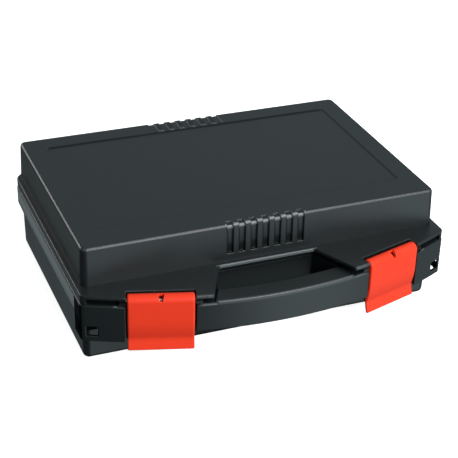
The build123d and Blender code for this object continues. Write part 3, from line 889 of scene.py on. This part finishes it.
def egg_crate(x, y):
    """A product of two cosines, so that bumps and hollows take turns like a chessboard's fields."""
    wave = np.cos(2 * np.pi * x / CRATE_PITCH) * np.cos(2 * np.pi * y / CRATE_PITCH)
    return CRATE_MIDDLE - CRATE_SWING * wave + 0.2 * ripple(x * 2, y * 2)


lid_lining = foam_slab(
    "lid_foam_sheet",
    half_x=167,
    half_y=109,
    corner=8,
    under=egg_crate,
    over=lambda x, y: 108.5 + 0 * x,
    edge=1.5,
    step=2.6,
)
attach(lid_lining, "lid")
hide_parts("lid_foam")

# %% [markdown]
# ## Pins
# Two steel pins hold the lid and one holds each latch. The real ends are tumbled, so they are
# slightly rounded. A circle carried along the pin, with its radius falling at each end, is enough.
# A latch's pin reaches through the two ears of the lid that the latch hangs between.

# %% One pin
HINGE_PIN_RADIUS = 2.0
LATCH_PIN_RADIUS = 1.5
PIN_RIM = 0.4
PIN_SIDES = 40
EAR_GAP = 0.8
EAR_WIDTH = 6.0


def pin(name, start, end, radius, body, node):
    """A bar from start to end with rounded rims; each loop is a circle across the bar's line."""
    start, end = np.array(start, float), np.array(end, float)
    length = np.linalg.norm(end - start)
    line = (end - start) / length
    level = np.cross(line, (0, 0, 1.0))
    level /= np.linalg.norm(level)
    upright = np.cross(level, line)
    turn = np.radians(np.linspace(0, 90, 6))
    out = PIN_RIM * (1 - np.cos(turn))
    less = PIN_RIM * (1 - np.sin(turn))
    along = np.concatenate((out, length - out[::-1]))
    swell = np.concatenate((radius - less, radius - less[::-1]))
    angle = np.linspace(0, 2 * np.pi, PIN_SIDES, endpoint=False)
    circle = np.cos(angle)[:, None] * level + np.sin(angle)[:, None] * upright
    points = start + along[:, None, None] * line + swell[:, None, None] * circle[None]
    piece = new_piece(name, points, loop_faces(len(along), PIN_SIDES, flip=True), steel)
    smooth_below(piece, 40)
    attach(piece, body)
    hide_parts(node)


# %% The four pins
def hinge_pin(word):
    """A hinge's pin, whose middle line comes from the box round its solid."""
    node = word + "_hinge_pin"
    low, high = (np.array(corner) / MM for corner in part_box(node))
    middle = (low + high) / 2
    start, end = (low[0], *middle[1:]), (high[0], *middle[1:])
    pin(word + "_hinge_rod", start, end, HINGE_PIN_RADIUS, "case", node)


def latch_pin(side, word):
    """A latch's pin, as far on both sides as the outer faces of the ears."""
    half = HALF_WIDTH + EAR_GAP + EAR_WIDTH
    start, end = on_latch(np.array([-half, half]), BARREL, PIVOT, side)
    pin(word + "_latch_rod", start, end, LATCH_PIN_RADIUS, "lid", word + "_latch_pin")


for side, word in ((1, "right"), (-1, "left")):
    hinge_pin(word)
    latch_pin(side, word)
print("pins made")

# %% [markdown]
# ## Studio
# The case stands on a white sweep under large soft lights. White ground throws light up under the
# flange, and that is why faces that look slightly down are the palest ones in the picture.
#
# The floor here is simpler than a real sweep: it gives off light of its own, so it stays pure white
# with a faint shadow, and it is left out of reflections and of bounced light. One field of the room,
# aimed down at the front right, stands in for the light that real ground would throw up.

# %% Studio floor
FLOOR_RADIUS = 12000.0
FLOOR_DROP = 0.2
FLOOR_SIDES = 96


def floor_paint():
    """White with a faint cloud in it, which also glows."""
    paint = Paint("white_sweep")
    cloud = paint.noise(0.5, 2)
    tone = paint.mix(cloud, colour(0.86, 0.86, 0.86), colour(0.89, 0.89, 0.89))
    return paint.done(
        Base_Color=tone,
        Roughness=0.7 + cloud * 0.1,
        Specular_IOR_Level=0.0,
        Emission_Color=colour(1, 1, 1),
        Emission_Strength=0.8,
    )


def floor():
    """A wide disc, a little under the case's flat feet so that the two surfaces never coincide."""
    angle = np.linspace(0, 2 * np.pi, FLOOR_SIDES, endpoint=False)
    x, y = FLOOR_RADIUS * np.cos(angle), FLOOR_RADIUS * np.sin(angle)
    disc = np.stack(np.broadcast_arrays(x, y, -FLOOR_DROP), -1)
    piece = new_piece("studio_floor", disc, [list(range(FLOOR_SIDES))], floor_paint())
    piece.visible_glossy = False
    piece.visible_diffuse = False


floor()

# %% [markdown]
# Three soft boxes light the case, from the front right, from high on the right and from behind on
# the left. Smooth plastic also mirrors its room, so the room has four soft bright fields, and each
# is aimed where one set of faces mirrors it at the picture's angle. Other angles are lit less well.

# %% Studio lights
ROOM_LEVEL = 0.10
# Each field: its aim, the cosine where it starts and where it is full, and how bright it is there.
BRIGHT_FIELDS = (
    ((0.82, -0.57, 0.0), 0.22, 0.93, 0.45),
    ((0.43, -0.79, -0.44), 0.90, 0.993, 1.6),
    ((0.35, 0.60, 0.70), 0.75, 0.97, 0.42),
    ((-0.19, 0.83, -0.525), 0.985, 0.9975, 0.25),
)


def soft_light(name, place, aim, width, height, power):
    """A rectangle of light at that place, in metres, turned to its aim; power is in watts."""
    data = bpy.data.lights.new(name, "AREA")
    data.shape = "RECTANGLE"
    data.size, data.size_y = width, height
    data.energy = power
    light = bpy.data.objects.new(name, data)
    light.location = place
    light.rotation_euler = (Vector(aim) - Vector(place)).to_track_quat("-Z", "Y").to_euler()
    bpy.context.collection.objects.link(light)


def studio_walls():
    """The room: a dim level everywhere, and soft bright fields that fade with the angle off their aim."""
    world = bpy.data.worlds.new("studio")
    world.use_nodes = True
    bpy.context.scene.world = world
    paint = Paint("walls", world)
    way = paint.add("TexCoord", out="Generated")
    strength = ROOM_LEVEL
    for aim, start, full, bright in BRIGHT_FIELDS:
        towards = paint.alike(way, Vector(aim).normalized())
        strength = towards.ramp(start, full, 0.0, bright) + strength
    glow = paint.add("Background", {}, {"Color": colour(0.80, 0.97, 1.0), "Strength": strength})
    paint.add("OutputWorld", {}, {"Surface": glow})


soft_light("front_box", (0.25, -1.75, 0.85), (0, -0.05, 0.05), 1.1, 0.8, 26)
soft_light("high_box", (0.75, -1.15, 1.75), (0, -0.05, 0.05), 1.1, 0.9, 28)
soft_light("back_box", (-1.35, 1.75, 0.75), (0, 0.05, 0.05), 1.3, 0.9, 20)
studio_walls()
bpy.context.scene.view_settings.view_transform = "Standard"
print("three soft boxes and", len(BRIGHT_FIELDS), "bright fields")
